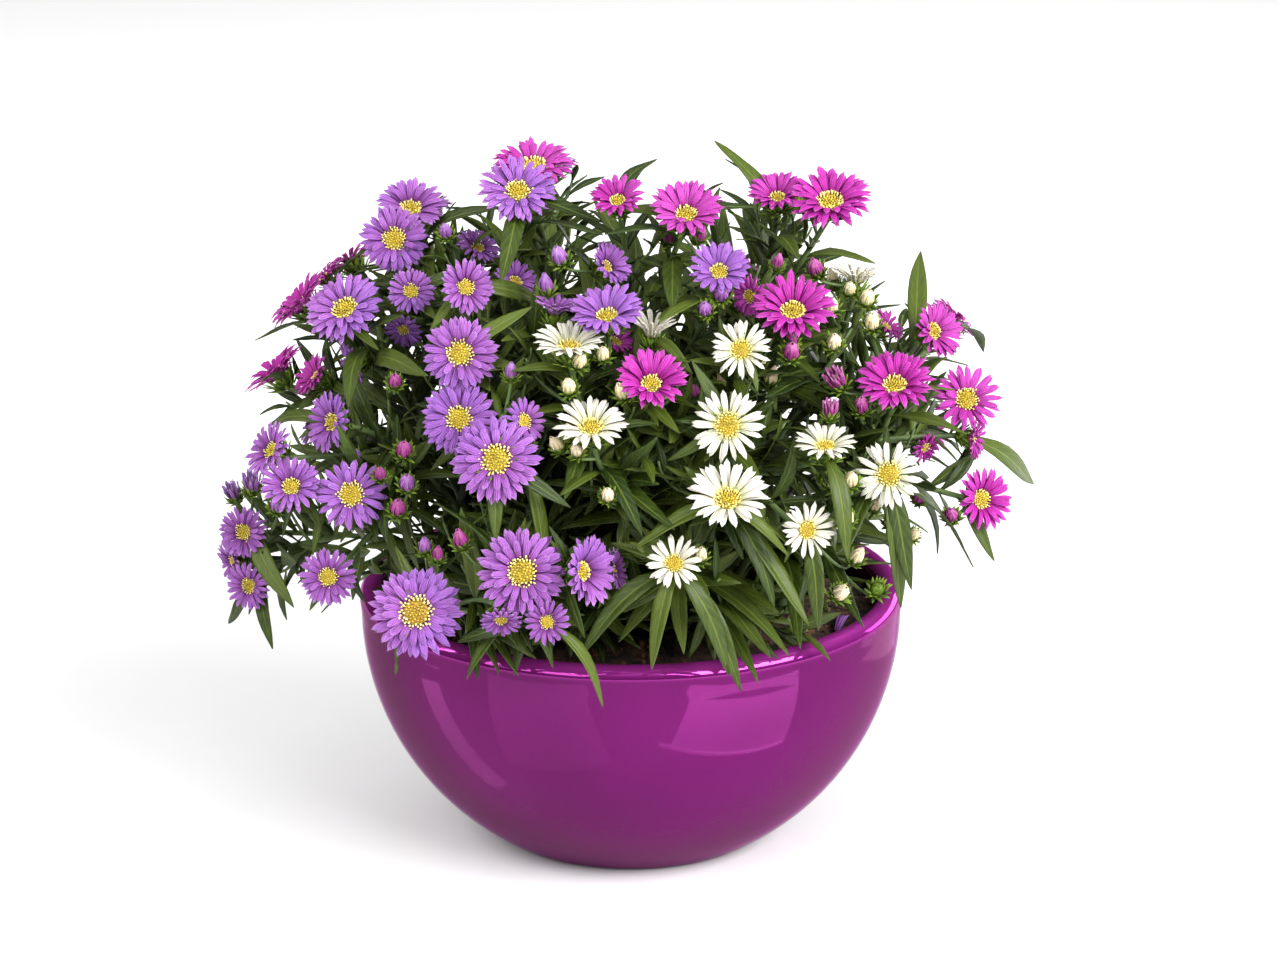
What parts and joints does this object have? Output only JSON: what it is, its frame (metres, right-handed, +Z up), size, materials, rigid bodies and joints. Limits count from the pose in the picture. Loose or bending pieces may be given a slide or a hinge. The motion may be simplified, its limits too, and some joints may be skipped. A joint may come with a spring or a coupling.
{
  "type": "potted aster",
  "caption": "Round glazed bowl planter filled with soil and branching aster plants that carry violet, magenta and white daisy blooms.",
  "frame": {"origin": "centre of the bowl's flat base, on the surface it stands on", "axes": "+Z up along the bowl's axis, -Y towards the picture's viewer, +X to the picture's right"},
  "size_m": [0.3371, 0.2837, 0.3012],
  "materials": {
    "glaze": "high gloss magenta-purple glaze",
    "soil": "rough dark potting soil with brown fibres",
    "leaf_green": "satin green leaves and stems",
    "violet_petal": "soft matte petals round a yellow disc",
    "magenta_petal": "soft matte petals round a yellow disc",
    "white_petal": "soft matte petals round a yellow disc"
  },
  "bodies": {
    "root": {"pot": "glaze", "soil": "soil", "violet_left_plant": "leaf_green", "violet_front_plant": "leaf_green", "violet_top_plant": "leaf_green", "magenta_left_plant": "leaf_green", "magenta_top_plant": "leaf_green", "magenta_right_plant": "leaf_green", "white_front_plant": "leaf_green", "white_top_plant": "leaf_green", "back_left_plant": "leaf_green", "back_right_plant": "leaf_green", "violet_bloom_01": "violet_petal", "violet_bloom_02": "violet_petal", "violet_bloom_03": "violet_petal", "violet_bloom_04": "violet_petal", "violet_bloom_05": "violet_petal", "violet_bloom_06": "violet_petal", "violet_bloom_07": "violet_petal", "violet_bloom_08": "violet_petal", "violet_bloom_09": "violet_petal", "violet_bloom_10": "violet_petal", "violet_bloom_11": "violet_petal", "violet_bloom_12": "violet_petal", "violet_bloom_13": "violet_petal", "violet_bloom_14": "violet_petal", "violet_bloom_15": "violet_petal", "violet_bloom_16": "violet_petal", "magenta_bloom_01": "magenta_petal", "magenta_bloom_02": "magenta_petal", "magenta_bloom_03": "magenta_petal", "magenta_bloom_04": "magenta_petal", "magenta_bloom_05": "magenta_petal", "magenta_bloom_06": "magenta_petal", "magenta_bloom_07": "magenta_petal", "magenta_bloom_08": "magenta_petal", "magenta_bloom_09": "magenta_petal", "magenta_bloom_10": "magenta_petal", "magenta_bloom_11": "magenta_petal", "magenta_bloom_12": "magenta_petal", "white_bloom_01": "white_petal", "white_bloom_02": "white_petal", "white_bloom_03": "white_petal", "white_bloom_04": "white_petal", "white_bloom_05": "white_petal", "white_bloom_06": "white_petal", "white_bloom_07": "white_petal", "white_bloom_08": "white_petal", "white_bloom_09": "white_petal", "white_bloom_10": "white_petal", "white_bloom_11": "white_petal", "far_bloom_01": "magenta_petal", "far_bloom_02": "magenta_petal", "far_bloom_03": "white_petal", "far_bloom_04": "magenta_petal", "far_bloom_05": "white_petal", "far_bloom_06": "violet_petal", "far_bloom_07": "violet_petal", "far_bloom_08": "violet_petal", "far_bloom_09": "magenta_petal"}
  },
  "joints": []
}
